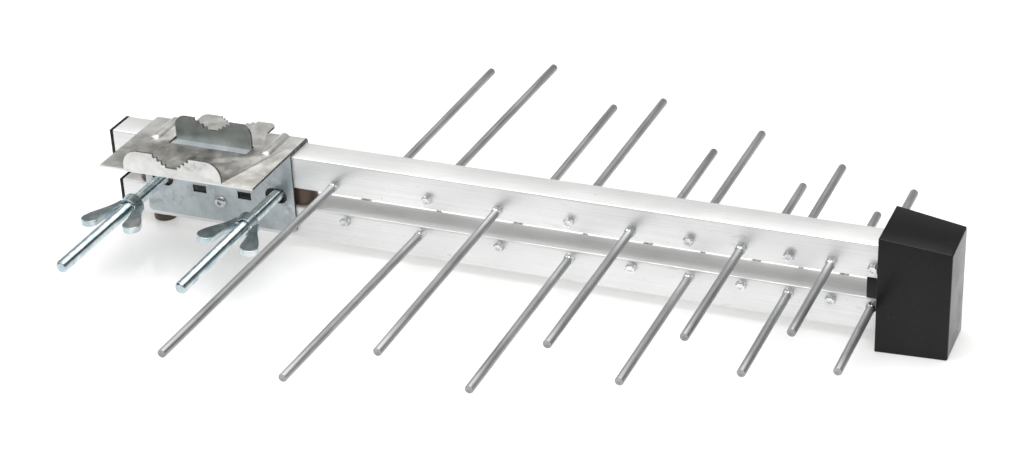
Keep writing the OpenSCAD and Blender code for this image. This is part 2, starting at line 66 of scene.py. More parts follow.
class Wire:
    """One output of a node, which can be used in sums."""

    def __init__(self, net, node, key=0):
        self.net = net
        self.node = node
        self.socket = find_socket(node.outputs, key) if len(node.outputs) else None

    def out(self, key):
        """Another output of the same node."""
        return Wire(self.net, self.node, key)

    def sum(self, operation, *values):
        return self.net.node("ShaderNodeMath", {"operation": operation}, dict(enumerate(values)))

    def __add__(self, other):
        return self.sum("ADD", self, other)

    __radd__ = __add__

    def __mul__(self, other):
        return self.sum("MULTIPLY", self, other)

    __rmul__ = __mul__

    def __sub__(self, other):
        return self.sum("SUBTRACT", self, other)

    def __rsub__(self, other):
        return self.sum("SUBTRACT", other, self)

    def __truediv__(self, other):
        return self.sum("DIVIDE", self, other)

    def __mod__(self, other):
        return self.sum("FLOORED_MODULO", self, other)

    def above(self, low, high):
        """0 below low, 1 above high and a smooth step between them."""
        values = {"Value": self, "From Min": low, "From Max": high}
        return self.net.node("ShaderNodeMapRange", {"interpolation_type": "SMOOTHSTEP"}, values)


class Net:
    """Writes the nodes of one tree."""

    def __init__(self, tree):
        self.tree = tree

    def node(self, kind, settings=None, values=None, out=0):
        """A node of that type: its settings first, then the values or links of its sockets."""
        made = self.tree.nodes.new(kind)
        for key, value in (settings or {}).items():
            setattr(made, key, value)
        for key, value in (values or {}).items():
            socket = find_socket(made.inputs, key)
            if isinstance(value, Wire):
                self.tree.links.new(value.socket, socket)
            elif socket.type == "RGBA" and len(value) == 3:
                socket.default_value = (*value, 1)
            else:
                socket.default_value = value
        return Wire(self, made, out)

    def shade(self, mask, low, high):
        """The colour low where mask is 0 and high where it is 1."""
        values = {"Factor_Float": mask, "A_Color": low, "B_Color": high}
        return self.node("ShaderNodeMix", {"data_type": "RGBA"}, values, "Result_Color")

    def place(self, stretch=(1, 1, 1), turn=(0, 0, 0)):
        """Object coordinates, stretched and turned."""
        coords = self.node("ShaderNodeTexCoord", out="Object")
        values = {"Vector": coords, "Scale": stretch, "Rotation": turn}
        return self.node("ShaderNodeMapping", None, values)

    def noise(self, scale, stretch=(1, 1, 1), detail=3.0, rough=0.55, turn=(0, 0, 0)):
        """Cloudy noise from 0 to 1 in object coordinates."""
        values = {
            "Vector": self.place(stretch, turn),
            "Scale": scale,
            "Detail": detail,
            "Roughness": rough,
        }
        return self.node("ShaderNodeTexNoise", None, values)

    def bump(self, height, depth, strength=1.0):
        values = {"Height": height, "Distance": depth, "Strength": strength}
        return self.node("ShaderNodeBump", None, values)


def material(name, write):
    """A material whose shader inputs come from write(net)."""
    made = bpy.data.materials.new(name)
    made.use_nodes = True
    net = Net(made.node_tree)
    shader = made.node_tree.nodes["Principled BSDF"]
    for key, value in write(net).items():
        socket = find_socket(shader.inputs, key)
        if isinstance(value, Wire):
            made.node_tree.links.new(value.socket, socket)
        elif socket.type == "RGBA":
            socket.default_value = (*value, 1)
        else:
            socket.default_value = value
    return made


# ---------- finishes ----------


def extruded_aluminium(net):
    """Mill-finish tube: draw lines along the boom, soft clouds and a few handling marks."""
    lines = net.noise(1, (9, 1500, 1500), 4)
    clouds = net.noise(38, (0.5, 1, 1), 3)
    marks = net.noise(1, (60, 900, 240), 2, 0.6, (0.2, 0.4, 0.5)).above(0.66, 0.74)
    specks = net.noise(900, detail=1).above(0.72, 0.78)
    bright = net.shade(clouds.above(0.3, 0.7), (0.86, 0.862, 0.855), (0.96, 0.962, 0.955))
    streaked = net.shade(lines.above(0.35, 0.75) * 0.35, bright, (0.70, 0.71, 0.72))
    marked = net.shade(marks * 0.35, streaked, (0.6, 0.6, 0.6))
    return {
        "Base Color": net.shade(specks * 0.4, marked, (0.38, 0.37, 0.36)),
        "Metallic": 0.7,
        "Roughness": 0.3 + 0.14 * clouds + 0.1 * lines,
        "Normal": net.bump(lines + 0.6 * marks, 0.00003, 0.6),
    }


def drawn_rod(net):
    """Drawn aluminium rod: dull, with faint lines along it and dark handling spots."""
    lines = net.noise(1, (2200, 16, 2200), 3)
    clouds = net.noise(95, (1, 0.35, 1), 4)
    spots = net.noise(420, (1, 0.6, 1), 2).above(0.63, 0.72)
    satin = net.shade(clouds.above(0.32, 0.68), (0.29, 0.292, 0.295), (0.40, 0.403, 0.408))
    streaked = net.shade(lines.above(0.4, 0.7) * 0.4, satin, (0.66, 0.665, 0.67))
    return {
        "Base Color": net.shade(spots * 0.4, streaked, (0.26, 0.26, 0.26)),
        "Metallic": 0.9,
        "Roughness": 0.42 + 0.14 * clouds,
        "Normal": net.bump(lines + 0.5 * spots, 0.00002, 0.6),
    }


def swaged_aluminium(net):
    """The rods' collars and stubs, polished by the press that formed them."""
    dents = net.noise(700, detail=2)
    clouds = net.noise(160, detail=2)
    return {
        "Base Color": net.shade(clouds.above(0.35, 0.65), (0.62, 0.63, 0.64), (0.86, 0.865, 0.87)),
        "Metallic": 1.0,
        "Roughness": 0.16 + 0.2 * clouds,
        "Normal": net.bump(dents, 0.00025, 0.7),
    }


def zinc_flakes(net, size):
    """Random grey of each crystal of a zinc coat."""
    values = {"Vector": net.place(), "Scale": size, "Randomness": 1.0}
    flakes = net.node("ShaderNodeTexVoronoi", {"feature": "F1"}, values, "Color")
    return net.node("ShaderNodeSeparateColor", None, {0: flakes})


def galvanised_sheet(dark, light, stain, rough, pale=0.0):
    """Hot-dip zinc on sheet steel: crystals, clouds, scuffs and oxide stains.
    The far side is painted paler by the given share, as painted light."""

    def write(net):
        flakes = zinc_flakes(net, 260)
        clouds = net.noise(62, detail=5, rough=0.62)
        scuffs = net.noise(1, (160, 900, 160), 3, 0.6, (0, 0, 0.7)).above(0.6, 0.72)
        stains = net.noise(95, (1, 0.6, 1), 6, 0.7).above(0.56, 0.7)
        pits = net.noise(1500, detail=1)
        coat = net.shade(clouds.above(0.34, 0.66) * 0.75 + flakes * 0.25, dark, light)
        # painted light: the coat is painted paler towards the far side of the sheet
        if pale:
            depth = net.node("ShaderNodeSeparateXYZ", None, {0: net.place()}, "Y")
            coat = net.shade(depth.above(-0.022, 0.006) * pale, coat, (0.9, 0.9, 0.88))
        scuffed = net.shade(scuffs * 0.45, coat, [min(1, 1.25 * c) for c in light])
        return {
            "Base Color": net.shade(stains * 0.55, scuffed, stain),
            "Metallic": 0.92 - 0.35 * stains,
            "Roughness": rough + 0.16 * clouds + 0.1 * flakes + 0.12 * stains,
            "Normal": net.bump(pits + 0.8 * clouds, 0.00006, 0.6),
        }

    return write


def cut_steel(net):
    """Sheared edge of the sheet: bare steel, darker than the zinc and painted darker still as painted
    shade, with marks of the shear across it.
    """
    shear = net.noise(1, (900, 900, 120), 3)
    return {
        "Base Color": net.shade(shear.above(0.35, 0.7), (0.07, 0.065, 0.06), (0.24, 0.23, 0.22)),
        "Metallic": 0.8,
        "Roughness": 0.5 + 0.2 * shear,
        "Normal": net.bump(shear, 0.00005, 0.7),
    }


def bright_zinc(net):
    """Blue-passivated zinc plating on the U-bolt and its nuts."""
    haze = net.noise(120, detail=3)
    tint = net.noise(210, detail=2)
    fine = net.noise(1600, detail=1)
    blue = net.shade(tint.above(0.35, 0.65), (0.41, 0.51, 0.555), (0.64, 0.70, 0.71))
    return {
        "Base Color": net.shade(haze.above(0.5, 0.8) * 0.5, blue, (0.40, 0.50, 0.54)),
        "Metallic": 1.0,
        "Roughness": 0.13 + 0.16 * haze,
        "Normal": net.bump(fine, 0.00001, 0.6),
    }


def steel_rivet(net):
    """Pressed steel of the rivets, with soft clouds."""
    clouds = net.noise(500, detail=2)
    return {
        "Base Color": net.shade(clouds, (0.5, 0.52, 0.54), (0.8, 0.82, 0.83)),
        "Metallic": 1.0,
        "Roughness": 0.2 + 0.2 * clouds,
        "Normal": net.bump(clouds, 0.00005, 0.5),
    }


def moulded_plastic(dark, light, rough, shine=0.5, dusty=0.25):
    """Moulded plastic with a fine grain, a few rubbed patches and dust."""

    def write(net):
        grain = net.noise(2600, detail=2)
        rubbed = net.noise(45, detail=3).above(0.45, 0.75)
        dust = net.noise(1300, detail=1).above(0.74, 0.8)
        worn = net.shade(rubbed, dark, light)
        return {
            "Base Color": net.shade(dust * dusty, worn, (0.3, 0.29, 0.28)),
            "Specular IOR Level": shine,
            "Roughness": rough + 0.1 * rubbed + 0.06 * grain,
            "Normal": net.bump(grain, 0.00003, 0.5),
        }

    return write


def plain_metal(dark, light, rough):
    """Small turned metal parts."""

    def write(net):
        turned = net.noise(1, (400, 400, 4000), 3)
        return {
            "Base Color": net.shade(turned, dark, light),
            "Metallic": 1.0,
            "Roughness": rough + 0.15 * turned,
            "Normal": net.bump(turned, 0.00001, 0.5),
        }

    return write


BOOM = material("boom aluminium", extruded_aluminium)
ROD = material("rod aluminium", drawn_rod)
COLLAR = material("swaged aluminium", swaged_aluminium)
# the plate's last argument paints its far side paler, as painted light
PLATE = material(
    "galvanised plate",
    galvanised_sheet((0.30, 0.295, 0.27), (0.66, 0.65, 0.62), (0.20, 0.19, 0.165), 0.25, 0.75),
)
BRACKET = material(
    "galvanised bracket",
    galvanised_sheet((0.40, 0.44, 0.46), (0.60, 0.65, 0.67), (0.34, 0.37, 0.385), 0.30),
)
# The lip's near face: the plate's own zinc painted near white, a painted reflection.
LIP_PAINTED_REFLECTION = material(
    "lip with painted reflection",
    galvanised_sheet((0.74, 0.74, 0.72), (0.97, 0.97, 0.95), (0.50, 0.49, 0.47), 0.3),
)
# The jaw: the bracket's own zinc sheet painted dark, as painted shade.
JAW_PAINTED_SHADE = material(
    "jaw with painted shade",
    galvanised_sheet((0.235, 0.26, 0.25), (0.42, 0.455, 0.445), (0.16, 0.17, 0.16), 0.34),
)
# Cut edges: bare steel, painted near black in part as painted shade.
CUT = material("cut edge", cut_steel)
ZINC = material("bright zinc", bright_zinc)
RIVET = material("rivet steel", steel_rivet)
BLACK = material(
    "black plastic",
    moulded_plastic((0.004, 0.004, 0.0045), (0.007, 0.007, 0.007), 0.2, 0.27, 0.04),
)
BROWN = material("brown plastic", moulded_plastic((0.10, 0.062, 0.038), (0.19, 0.125, 0.08), 0.26))
BRASS = material("brass", plain_metal((0.62, 0.45, 0.2), (0.8, 0.62, 0.32), 0.25))
COPPER = material("copper", plain_metal((0.7, 0.36, 0.22), (0.85, 0.5, 0.33), 0.22))
TINNED = material("tinned steel", plain_metal((0.55, 0.55, 0.54), (0.75, 0.75, 0.74), 0.3))
SHEATH = material("cable sheath", moulded_plastic((0.012, 0.012, 0.013), (0.03, 0.03, 0.03), 0.5))


# ---------- making meshes ----------


def piece_from(mesh, name, finishes, body, nodes, angle=35, flat_over=1.0):
    """A finished piece that stands for CAD nodes and rides on their body.
    Faces larger than flat_over, in square metres, keep a flat shading."""
    made = bpy.data.objects.new(name, mesh)
    bpy.context.scene.collection.objects.link(made)
    if not mesh.materials:
        for finish in finishes:
            mesh.materials.append(finish)
    for polygon in mesh.polygons:
        polygon.use_smooth = polygon.area < flat_over
    mesh.set_sharp_from_angle(angle=math.radians(angle))
    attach(made, body)
    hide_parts(*nodes)
    return made


def outward(mesh):
    """Merges doubled points and turns every face outwards."""
    work = bmesh.new()
    work.from_mesh(mesh)
    bmesh.ops.remove_doubles(work, verts=work.verts, dist=1e-7)
    bmesh.ops.recalc_face_normals(work, faces=work.faces)
    work.to_mesh(mesh)
    work.free()
    return mesh


def mesh_of(points, faces):
    """A mesh of points and faces."""
    mesh = bpy.data.meshes.new("shape")
    mesh.from_pydata([tuple(p) for p in points], [], [tuple(f) for f in faces])
    return mesh


def joined(meshes):
    """One mesh from several."""
    work = bmesh.new()
    for mesh in meshes:
        work.from_mesh(mesh)
    made = bpy.data.meshes.new("joined")
    work.to_mesh(made)
    work.free()
    return made


def with_modifiers(mesh, *steps):
    """The mesh after the modifiers in steps, each a type and its settings."""
    holder = bpy.data.objects.new("work", mesh)
    bpy.context.scene.collection.objects.link(holder)
    for kind, settings in steps:
        modifier = holder.modifiers.new(kind, kind)
        for key, value in settings.items():
            setattr(modifier, key, value)
    seen = holder.evaluated_get(bpy.context.evaluated_depsgraph_get())
    made = bpy.data.meshes.new_from_object(seen)
    bpy.data.objects.remove(holder)
    return made


def coords_of(mesh):
    """The places of a mesh's points, a row each."""
    flat = np.empty(3 * len(mesh.vertices))
    mesh.vertices.foreach_get("co", flat)
    return flat.reshape(-1, 3)


def set_coords(mesh, points):
    """Moves the points of a mesh to new places."""
    mesh.vertices.foreach_set("co", np.asarray(points, float).ravel())
    mesh.update()


def give(mesh, finishes, choose):
    """Gives each face the finish whose number choose(centre, normal) returns."""
    mesh.materials.clear()
    for finish in finishes:
        mesh.materials.append(finish)
    for polygon in mesh.polygons:
        polygon.material_index = choose(polygon.center, polygon.normal)
    return mesh


# ---------- the turning tree ----------


def write_turning_tree():
    """Geometry tree that turns a side profile (radius in x, height in z) about the Z axis.
    Waves round it make flutes and facets, and a twist along it makes a thread."""
    tree = bpy.data.node_groups.new("turned piece", "GeometryNodeTree")
    face = tree.interface
    face.new_socket("Geometry", in_out="INPUT", socket_type="NodeSocketGeometry")
    inputs = {
        "Around": ("NodeSocketInt", 32),
        "Waves": ("NodeSocketFloat", 0.0),
        "Twist": ("NodeSocketFloat", 0.0),
        "Depth": ("NodeSocketFloat", 0.0),
        "Cut from": ("NodeSocketFloat", 0.0),
        "Cut to": ("NodeSocketFloat", 0.0),
        "Length": ("NodeSocketFloat", 10.0),
        "Runout": ("NodeSocketFloat", 0.0005),
        "Seat": ("NodeSocketVector", (0, 0, 0)),
        "Turn": ("NodeSocketRotation", (0, 0, 0)),
        "Finish": ("NodeSocketMaterial", None),
    }
    for name, (kind, value) in inputs.items():
        socket = face.new_socket(name, in_out="INPUT", socket_type=kind)
        if value is not None:
            socket.default_value = value
    face.new_socket("Geometry", in_out="OUTPUT", socket_type="NodeSocketGeometry")
    net = Net(tree)
    given = net.node("NodeGroupInput")
    around = given.out("Around")
    size = net.node("GeometryNodeAttributeDomainSize", {"component": "MESH"}, {"Geometry": given})
    grid_values = {"Vertices X": size.out("Point Count"), "Vertices Y": around + 1}
    grid = net.node("GeometryNodeMeshGrid", None, grid_values)
    index = net.node("GeometryNodeInputIndex")
    column = index % (around + 1)
    row = (index - column) / (around + 1)
    where = net.node("GeometryNodeInputPosition")
    sample = net.node(
        "GeometryNodeSampleIndex",
        {"data_type": "FLOAT_VECTOR", "domain": "POINT"},
        {"Geometry": given, "Value": where, "Index": row.sum("ROUND", row)},
    )
    profile = net.node("ShaderNodeSeparateXYZ", None, {0: sample})
    radius, height = profile.out("X"), profile.out("Z")
    share = column / around
    phase = (share * given.out("Waves") + height * given.out("Twist")) % 1.0
    valley = (phase * 2.0 - 1.0).sum("ABSOLUTE", phase * 2.0 - 1.0)
    runout = given.out("Runout")
    start, end = given.out("Cut from"), given.out("Cut to")
    far_end = given.out("Length") - height
    depth_in = far_end.sum("MINIMUM", height.sum("ABSOLUTE", height), far_end)
    cut = depth_in.above(start, start + runout) * (1.0 - depth_in.above(end - runout, end))
    cut = cut * radius.above(0.0, 0.0002)
    turned = radius - valley * cut * given.out("Depth")
    angle = share * math.tau
    spot = net.node(
        "ShaderNodeCombineXYZ",
        None,
        {
            "X": turned * angle.sum("COSINE", angle),
            "Y": turned * angle.sum("SINE", angle),
            "Z": height,
        },
    )
    skin = net.node("GeometryNodeSetPosition", None, {"Geometry": grid, "Position": spot})
    closed = net.node("GeometryNodeMergeByDistance", None, {"Geometry": skin, "Distance": 1e-7})
    seated = net.node(
        "GeometryNodeTransform",
        None,
        {"Geometry": closed, "Translation": given.out("Seat"), "Rotation": given.out("Turn")},
    )
    real = net.node("GeometryNodeRealizeInstances", None, {"Geometry": seated})
    values = {"Geometry": real, "Material": given.out("Finish")}
    finished = net.node("GeometryNodeSetMaterial", None, values)
    net.node("NodeGroupOutput", None, {"Geometry": finished})
    return tree


TURNING = write_turning_tree()


def turned(profile, finish, seat=(0, 0, 0), turn=(0, 0, 0), **sizes):
    """The mesh of a side profile of (radius, height) points in millimetres, turned about its axis."""
    points = [(r * MM, 0, h * MM) for r, h in profile]
    line = bpy.data.meshes.new("profile")
    line.from_pydata(points, [(i, i + 1) for i in range(len(points) - 1)], [])
    holder = bpy.data.objects.new("profile", line)
    modifier = holder.modifiers.new("turned", "NODES")
    modifier.node_group = TURNING
    given = {"Seat": seat, "Turn": turn, "Finish": finish}
    given.update({key.replace("_", " "): value for key, value in sizes.items()})
    for item in TURNING.interface.items_tree:
        if item.in_out == "INPUT" and item.name in given:
            modifier[item.identifier] = given[item.name]
    bpy.context.scene.collection.objects.link(holder)
    seen = holder.evaluated_get(bpy.context.evaluated_depsgraph_get())
    mesh = bpy.data.meshes.new_from_object(seen)
    bpy.data.objects.remove(holder)
    return outward(mesh)


def rounded(profile, radius, steps=3):
    """The profile with its inner corners rounded to that radius, in millimetres."""
    made = [profile[0]]
    for a, b, c in zip(profile, profile[1:], profile[2:]):
        a, b, c = (np.array(p, float) for p in (a, b, c))
        before, after = a - b, c - b
        reach = min(radius, 0.45 * np.linalg.norm(before), 0.45 * np.linalg.norm(after))
        start = b + before / np.linalg.norm(before) * reach
        end = b + after / np.linalg.norm(after) * reach
        for i in range(steps + 1):
            t = i / steps
            made.append(tuple((1 - t) ** 2 * start + 2 * t * (1 - t) * b + t**2 * end))
    made.append(profile[-1])
    return made


# ---------- booms and plugs ----------


def rounded_square(half, radius, steps=4):
    """Corners of a square of that half side with rounded corners, in the YZ plane."""
    points = []
    for quarter in range(4):
        turn = quarter * math.pi / 2
        middle = Matrix.Rotation(turn, 2) @ Vector((half - radius, half - radius))
        for i in range(steps + 1):
            a = turn + i / steps * math.pi / 2
            points.append((middle[0] + radius * math.cos(a), middle[1] + radius * math.sin(a)))
    return points


def square_tube(low, high, wall, radius, cuts):
    """A square tube with rounded corners between two corners of its box, cut into short lengths."""
    middle = (low + high) / 2
    half = (high.z - low.z) / 2
    outer = rounded_square(half, radius)
    inner = rounded_square(half - wall, max(radius - wall, 0.25 * MM))
    count = len(outer)
    places = [low.x + (high.x - low.x) * i / cuts for i in range(cuts + 1)]
    points, faces = [], []
    for ring in (outer, inner):
        for x in places:
            points += [(x, middle.y + y, middle.z + z) for y, z in ring]
    for layer in range(2):
        for i in range(cuts):
            for j in range(count):
                a = (layer * (cuts + 1) + i) * count
                k = (j + 1) % count
                faces.append((a + j, a + k, a + count + k, a + count + j))
    for i in (0, cuts):
        a, b = i * count, (cuts + 1 + i) * count
        for j in range(count):
            k = (j + 1) % count
            faces.append((a + j, a + k, b + k, b + j))
    return outward(mesh_of(points, faces))


BOOM_WALL = 1.2 * MM
BOOM_CORNER_R = 0.7 * MM
BOOM_LENGTHS = 24
for name in ("upper_boom", "lower_boom"):
    low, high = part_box(name)
    tube = square_tube(low, high, BOOM_WALL, BOOM_CORNER_R, BOOM_LENGTHS)
    piece_from(tube, name + "_tube", [BOOM], ROOT, [name])


# ---------- edges rounded on a copy of a CAD solid ----------


def softened(name, width, segments=2, angle=30):
    """A copy of a CAD solid with its sharp edges rounded."""
    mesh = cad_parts[name].data.copy()
    mesh.materials.clear()
    work = bmesh.new()
    work.from_mesh(mesh)
    bmesh.ops.remove_doubles(work, verts=work.verts, dist=2e-6)
    flat = math.radians(1)
    bmesh.ops.dissolve_limit(work, angle_limit=flat, verts=work.verts, edges=work.edges)
    work.to_mesh(mesh)
    work.free()
    for polygon in mesh.polygons:
        polygon.use_smooth = False
    edges = {
        "width": width,
        "segments": segments,
        "limit_method": "ANGLE",
        "angle_limit": math.radians(angle),
        "use_clamp_overlap": True,
        "miter_outer": "MITER_ARC",
    }
    return with_modifiers(mesh, ("BEVEL", edges))


PLUG_EDGE = 0.12 * MM
CAP_EDGE = 0.35 * MM
LUG_EDGE = 0.2 * MM
SHEET_EDGE = 0.16 * MM
LARGE_FACE = 4 * MM * MM  # faces over this area stay flat between their rounded edges

for name in ("upper_end_plug", "lower_end_plug"):
    plug = softened(name, PLUG_EDGE)
    piece_from(plug, name + "_moulding", [BLACK], ROOT, [name])


# ---------- dipole rods ----------


def rod_axis(name):
    """Middle of the rod at the middle of its boom, its direction, its reach and its stub's end."""
    points = np.array([v.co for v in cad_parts[name].data.vertices])
    side = 1 if points[:, 1].max() > -points[:, 1].min() else -1
    along = side * points[:, 1]
    tip = points[along > along.max() - 0.3 * MM].mean(0)
    stub = points[along < along.min() + 0.02 * MM].mean(0)
    way = (tip - stub) / np.linalg.norm(tip - stub)
    middle = stub - way * stub[1] / way[1]
    return middle, way, np.linalg.norm(tip - middle) / MM, np.linalg.norm(stub - middle) / MM


ROD_R = 1.9
COLLAR_R = 2.4
COLLAR_LEN = 4.0
HALF_BOOM = 8.0
SUNK = 0.3  # how far collars and stubs start inside the wall of the boom
rod_names = sorted(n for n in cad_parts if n.startswith("rod_"))


def rod_profile(reach, stub_end):
    """Swaged stub, shank, swaged collar and slightly cupped tip, from the stub's end to the tip."""
    stub = [(0, -stub_end + 0.3), (0.9, -stub_end + 0.22), (1.5, -stub_end), (2.0, -stub_end)]
    stub += [(COLLAR_R - 0.1, -stub_end + 0.15), (COLLAR_R, -stub_end + 0.5)]
    stub += [(COLLAR_R, SUNK - HALF_BOOM), (ROD_R, SUNK - HALF_BOOM)]
    start = HALF_BOOM - SUNK
    end = HALF_BOOM + COLLAR_LEN
    collar = [(ROD_R, start), (COLLAR_R, start)]
    collar += [(COLLAR_R, start + 0.5 * i) for i in range(1, 8)]
    collar += [(COLLAR_R - 0.1, end - 0.4), (ROD_R + 0.1, end - 0.1), (ROD_R, end)]
    shank = [(ROD_R, end + (reach - end) * t) for t in (0.25, 0.5, 0.75)]
    cup = [(ROD_R, reach - 0.3), (ROD_R - 0.12, reach - 0.06), (ROD_R - 0.45, reach)]
    cup += [(0.8, reach - 0.22), (0, reach - 0.35)]
    return stub + collar + shank + cup


for name in rod_names:
    middle, way, reach, stub_end = rod_axis(name)
    turn = Vector((0, 0, 1)).rotation_difference(Vector(way)).to_euler()
    mesh = turned(
        rod_profile(reach, stub_end),
        ROD,
        tuple(middle),
        tuple(turn),
        Around=48,
        Waves=8.0,
        Depth=0.4 * MM,
        Cut_from=(HALF_BOOM - 1) * MM,
        Cut_to=(HALF_BOOM + COLLAR_LEN) * MM,
    )
    start, direction = Vector(middle), Vector(way)
    give(
        mesh,
        [ROD, COLLAR],
        lambda c, n: int((c - start).dot(direction) < (HALF_BOOM + COLLAR_LEN) * MM),
    )
    piece_from(mesh, name + "_bar", [ROD], ROOT, [name], 40)


# ---------- front cap, spacers, dust cap and connector ----------

cap = softened("front_cap", CAP_EDGE, 3)
piece_from(
    cap, "front_cap_moulding", [BLACK], ROOT, ["front_cap"], flat_over=LARGE_FACE
)
web = softened("front_spacer", LUG_EDGE)
piece_from(web, "front_spacer_moulding", [BLACK], ROOT, ["front_spacer"])


def round_piece(name, profile, finish, slot, around=48, **sizes):
    """A turned piece that stands where the CAD node's lower face is."""
    low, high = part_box(name)
    seat = ((low.x + high.x) / 2, (low.y + high.y) / 2, low.z)
    mesh = turned(profile, finish, seat, Around=around, **sizes)
    return piece_from(mesh, name + "_turned", [finish], ROOT, [name])


SPACER_R = 6.0
PEG_R = 2.5
PEG_LEN = 2.4
GAP = 9.6
spacer = [
    (0, 0),
    (PEG_R, 0),
    (PEG_R, PEG_LEN),
    (SPACER_R, PEG_LEN),
    (SPACER_R, PEG_LEN + GAP),
    (PEG_R, PEG_LEN + GAP),
    (PEG_R, 2 * PEG_LEN + GAP),
    (0, 2 * PEG_LEN + GAP),
]
for name in ("middle_spacer", "rear_spacer"):
    round_piece(name, rounded(spacer, 0.45), BROWN, "brown_plastic")

CAP_R = 5.7
CAP_H = 3.7
CAP_BORE_R = 4.75
CAP_FLOOR = 1.2
cap_side = [
    (0, 0),
    (CAP_R, 0),
    (CAP_R - 0.05, CAP_H),
    (CAP_BORE_R, CAP_H),
    (CAP_BORE_R, CAP_FLOOR),
    (0, CAP_FLOOR),
]
round_piece("connector_cap", rounded(cap_side, 1.1, 5), BROWN, "brown_plastic")

NUT_HOLE_R = 4.75
NUT_H = 1.6
nut_side = [(NUT_HOLE_R, 0), (5.9, 0), (6.5, 0.3), (6.5, NUT_H - 0.3), (5.9, NUT_H)]
nut_side += [(NUT_HOLE_R, NUT_H), (NUT_HOLE_R, 0)]
round_piece("connector_nut", nut_side, TINNED, "brass", 6)

CARRIED_NODES = {
    "connector_socket": BRASS,
    "coax_cable": SHEATH,
    "coax_core": COPPER,
    "feed_tag": TINNED,
    "feed_screws": TINNED,
}
for name, finish in CARRIED_NODES.items():
    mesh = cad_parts[name].data
    mesh.materials.clear()
    mesh.materials.append(finish)


# ---------- clamp plate, bracket and rivets ----------

plate_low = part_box("clamp_plate")[0]
bracket_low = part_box("clamp_bracket")[0]
upper_low, upper_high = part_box("upper_boom")
SHEET = 1.2 * MM
plate_under = upper_high.z + SHEET
plate_top = plate_under + SHEET


def split_at(mesh, height):
    """Cuts the faces of a mesh in two where they cross a level, so that each half has its finish."""
    work = bmesh.new()
    work.from_mesh(mesh)
    parts = [*work.verts, *work.edges, *work.faces]
    bmesh.ops.bisect_plane(work, geom=parts, plane_co=(0, 0, height), plane_no=(0, 0, 1))
    work.to_mesh(mesh)
    work.free()
    return mesh


def plate_finish(centre, normal):
    """0 on the sheet's faces, 1 on its cut edges and 2 on the lip's near face, which carries a painted
    reflection.
    """
    if centre.y < plate_low.y + SHEET + 0.1 * MM:
        if normal.y < -0.9:
            return 2
        return int(abs(normal.y) < 0.35 and centre.z > plate_top or abs(normal.x) > 0.9)
    if centre.z > plate_top + 0.05 * MM:
        return 0
    if centre.z > plate_under - 0.3 * MM:
        return int(abs(normal.z) < 0.35)
    return int(abs(normal.x) > 0.9)


def bracket_finish(centre, normal):
    """0 on the wall, 1 on cut edges and 2 on the jaw, which carries painted shade."""
    on_jaw = centre.z > plate_under - 0.2 * MM
    side_edge = abs(normal.x) > 0.9
    if side_edge or abs(normal.y) < 0.35 and (on_jaw or centre.y < upper_low.y):
        return 1
    return 2 if on_jaw else 0


plate = softened("clamp_plate", SHEET_EDGE)
give(plate, [PLATE, CUT, LIP_PAINTED_REFLECTION], plate_finish)
piece_from(
    plate, "clamp_plate_pressing", [], ROOT, ["clamp_plate"], 40, LARGE_FACE
)

bracket = split_at(softened("clamp_bracket", SHEET_EDGE), plate_under)
give(bracket, [BRACKET, CUT, JAW_PAINTED_SHADE], bracket_finish)
piece_from(
    bracket, "clamp_bracket_pressing", [], ROOT, ["clamp_bracket"], 40, LARGE_FACE
)

RIVET_HEAD_R = 3.1
rivet_side = [
    (0, 0.2),
    (1.0, 0.2),
    (1.05, 1.42),
    (1.5, 1.48),
    (2.3, 1.15),
    (2.85, 0.6),
    (RIVET_HEAD_R, 0.12),
    (RIVET_HEAD_R - 0.1, 0),
    (1.6, 0),
    (1.6, -2.4),
    (2.1, -2.5),
    (2.1, -4.0),
    (0, -4.0),
]
rivet_low, rivet_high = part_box("bracket_rivets")
rivet_x = (rivet_low.x + rivet_high.x) / 2
wall_y = bracket_low.y
rivets = [
    turned(
        rounded(rivet_side, 0.3),
        RIVET,
        (rivet_x, wall_y, z),
        (math.pi / 2, 0, 0),
        Around=40,
    )
    for z in (rivet_low.z + RIVET_HEAD_R * MM, rivet_high.z - RIVET_HEAD_R * MM)
]
piece_from(joined(rivets), "bracket_rivets_set", [RIVET], ROOT, ["bracket_rivets"])


# ---------- U-bolt ----------

bolt_low, bolt_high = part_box("u_bolt")
leg_r = (bolt_high.z - bolt_low.z) / 2
bend_r = (bolt_high.x - bolt_low.x) / 2 - leg_r
bolt_x = (bolt_low.x + bolt_high.x) / 2
bolt_z = (bolt_low.z + bolt_high.z) / 2
bend_y = bolt_high.y - leg_r - bend_r
PITCH = 1.0
THREAD_STEPS = 6
THREAD_DEPTH = 0.55
THREAD_LEN = 96.0
THREAD_START = 0.9  # first ring of the thread, just past the chamfer
BEND_STEPS = 24


def bar_profile(length):
    """Straight bar of the U-bolt before it was bent, with chamfered ends and dense threaded parts."""
    r = leg_r / MM
    ends = [(0, 0), (r - 0.75, 0), (r - 0.6, 0.08), (r, 0.8)]
    step = PITCH / THREAD_STEPS
    rings = int((THREAD_LEN - THREAD_START) / step)
    thread = [(r, THREAD_START + i * step) for i in range(rings)]
    half = ends + thread
    shares = np.linspace(0.02, 1, BEND_STEPS)
    plain = [(r, THREAD_LEN + (length / 2 - THREAD_LEN) * t) for t in shares]
    back = [(radius, length - h) for radius, h in reversed(half + plain[:-1])]
    return half + plain + back


def bent(points, straight):
    """Bends the bar round the back of the clamp: the middle of its length becomes a half circle."""
    along = points[:, 2] - straight
    angle = np.clip(along / bend_r, 0, math.pi)
    rest = along - bend_r * angle
    side, up = points[:, 0], points[:, 1]
    x = -bend_r * np.cos(angle) + rest * np.sin(angle) - side * np.cos(angle)
    y = bend_r * np.sin(angle) + rest * np.cos(angle) + side * np.sin(angle)
    return np.stack([bolt_x + x, bend_y + y, bolt_z + up], 1)


